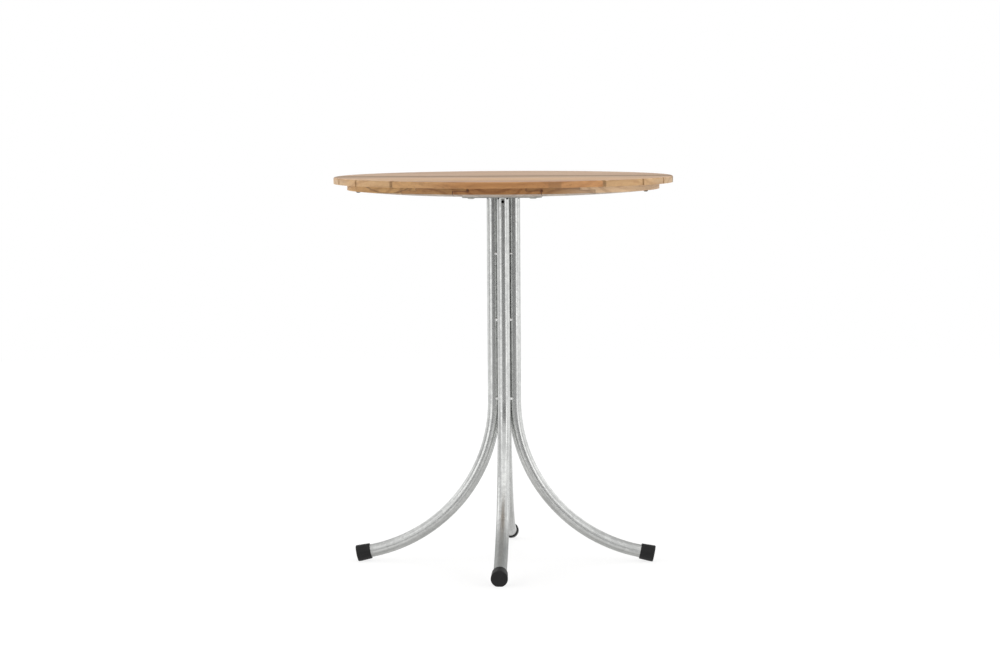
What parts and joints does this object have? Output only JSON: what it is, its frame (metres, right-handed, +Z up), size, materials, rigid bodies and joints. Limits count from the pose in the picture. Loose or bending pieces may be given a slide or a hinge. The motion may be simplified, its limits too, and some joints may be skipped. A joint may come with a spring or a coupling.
{
  "type": "wine table",
  "caption": "Round slatted wooden table top over lapped under-boards, on bent galvanised tubes gathered into a column, with rubber foot caps.",
  "frame": {"origin": "on the floor, under the middle of the round top", "axes": "+Z up; the slats run along X, the under-boards along Y; the legs point along +X, +Y, -X and -Y, and the side in the picture is -Y"},
  "size_m": [0.65, 0.65, 0.746],
  "materials": {
    "slat_wood": "oiled, weathered pale on top",
    "board_wood": "oiled",
    "galvanised_steel": "hot-dip galvanised, mottled",
    "screw_steel": "zinc plated",
    "cap_rubber": "matt black"
  },
  "bodies": {
    "root": {"slat_1": "slat_wood", "slat_2": "slat_wood", "slat_3": "slat_wood", "slat_4": "slat_wood", "slat_5": "slat_wood", "slat_6": "slat_wood", "slat_7": "slat_wood", "slat_8": "slat_wood", "slat_9": "slat_wood", "under_board_left": "board_wood", "under_board_left_inner": "board_wood", "under_board_middle": "board_wood", "under_board_right_inner": "board_wood", "under_board_right": "board_wood", "mounting_plate": "galvanised_steel", "plate_welds": "galvanised_steel", "spacers_low": "galvanised_steel", "spacers_middle": "galvanised_steel", "spacers_high": "galvanised_steel", "plate_screws": "screw_steel", "slat_screws": "screw_steel", "rim_screws": "screw_steel", "leg_right": "galvanised_steel", "foot_cap_right": "cap_rubber", "leg_back": "galvanised_steel", "foot_cap_back": "cap_rubber", "leg_left": "galvanised_steel", "foot_cap_left": "cap_rubber", "leg_front": "galvanised_steel", "foot_cap_front": "cap_rubber"}
  },
  "joints": []
}
